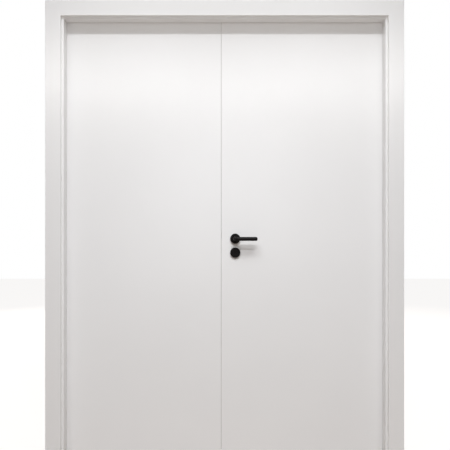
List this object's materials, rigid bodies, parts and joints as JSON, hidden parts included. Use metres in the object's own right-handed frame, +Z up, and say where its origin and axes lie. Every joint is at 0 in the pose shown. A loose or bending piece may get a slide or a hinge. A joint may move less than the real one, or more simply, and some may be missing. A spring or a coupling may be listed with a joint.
{
  "type": "interior double door",
  "caption": "Flush white interior double door in a rebated lining with square casings, with a black lever on round roses, mortise lock, lift-off hinges and flush bolts.",
  "frame": {"origin": "middle of the threshold: at floor level, halfway along the opening and halfway through the wall", "axes": "+X to the right seen from the push side, +Y through the wall towards the side the leaves open to, +Z up"},
  "size_m": [1.828, 0.172, 2.314],
  "materials": {
    "leaf_lacquer": "satin white lacquer",
    "lining_lacquer": "satin white lacquer",
    "black_furniture": "matt black powder coat",
    "satin_steel": "satin",
    "zinc_steel": "zinc plated",
    "seal_rubber": "matt"
  },
  "bodies": {
    "frame": {"jamb_left": "lining_lacquer", "jamb_right": "lining_lacquer", "head_lining": "lining_lacquer", "front_casing_left": "lining_lacquer", "front_casing_right": "lining_lacquer", "front_casing_head": "lining_lacquer", "rear_casing_left": "lining_lacquer", "rear_casing_right": "lining_lacquer", "rear_casing_head": "lining_lacquer", "seal_left": "seal_rubber", "seal_right": "seal_rubber", "seal_head": "seal_rubber", "left_hinge_low_frame": "satin_steel", "left_hinge_mid_frame": "satin_steel", "left_hinge_top_frame": "satin_steel", "right_hinge_low_frame": "satin_steel", "right_hinge_mid_frame": "satin_steel", "right_hinge_top_frame": "satin_steel", "hinge_pins": "satin_steel", "frame_screws": "zinc_steel", "lining_screws": "zinc_steel", "top_keep": "satin_steel"},
    "active_leaf": {"active_leaf_panel": "leaf_lacquer", "right_hinge_low_leaf": "satin_steel", "right_hinge_mid_leaf": "satin_steel", "right_hinge_top_leaf": "satin_steel", "active_leaf_screws": "zinc_steel", "lock_case": "zinc_steel", "lock_cover": "zinc_steel", "lock_forend": "satin_steel", "rose_front": "black_furniture", "rose_rear": "black_furniture", "rose_base_front": "zinc_steel", "rose_base_rear": "zinc_steel", "key_rose_front": "black_furniture", "key_rose_rear": "black_furniture", "key_rose_base_front": "zinc_steel", "key_rose_base_rear": "zinc_steel", "through_bolts": "zinc_steel"},
    "lever_set": {"lever_front": "black_furniture", "lever_rear": "black_furniture", "spindle": "zinc_steel", "lock_follower": "zinc_steel", "grub_screws": "zinc_steel"},
    "latch": {"latch_bolt": "satin_steel", "latch_spring": "zinc_steel"},
    "dead_bolt": {"deadbolt": "satin_steel"},
    "passive_leaf": {"passive_leaf_panel": "leaf_lacquer", "left_hinge_low_leaf": "satin_steel", "left_hinge_mid_leaf": "satin_steel", "left_hinge_top_leaf": "satin_steel", "passive_leaf_screws": "zinc_steel", "strike_plate": "satin_steel", "top_bolt_housing": "satin_steel", "bottom_bolt_housing": "satin_steel"},
    "top_rod": {"top_bolt": "satin_steel"},
    "bottom_rod": {"bottom_bolt": "satin_steel"}
  },
  "joints": [
    {"name": "active_leaf_swing", "type": "hinge", "parent": "frame", "child": "active_leaf", "pos_m": [0.8245, 0.058, 1.1255], "axis": [0, 0, -1], "range_deg": [0, 170]},
    {"name": "passive_leaf_swing", "type": "hinge", "parent": "frame", "child": "passive_leaf", "pos_m": [-0.8245, 0.058, 1.1255], "axis": [0, 0, 1], "range_deg": [0, 170]},
    {"name": "lever_press", "type": "hinge", "parent": "active_leaf", "child": "lever_set", "pos_m": [0.0545, 0.03, 1.1], "axis": [0, 1, 0], "range_deg": [0, 35], "stiffness_Nm_per_rad": 1.5, "springref_deg": -28.65},
    {"name": "latch_draw", "type": "slide", "parent": "active_leaf", "child": "latch", "axis": [1, 0, 0], "range_m": [0, 0.0121], "deforming": ["latch_spring"]},
    {"name": "deadbolt_throw", "type": "slide", "parent": "active_leaf", "child": "dead_bolt", "axis": [-1, 0, 0], "range_m": [0, 0.014]},
    {"name": "top_bolt_throw", "type": "slide", "parent": "passive_leaf", "child": "top_rod", "axis": [0, 0, 1], "range_m": [0, 0.02]},
    {"name": "bottom_bolt_throw", "type": "slide", "parent": "passive_leaf", "child": "bottom_rod", "axis": [0, 0, -1], "range_m": [0, 0.02]}
  ],
  "couplings": [
    {"joint": "latch_draw", "follows": "lever_press", "m_per_rad": 0.01964}
  ]
}
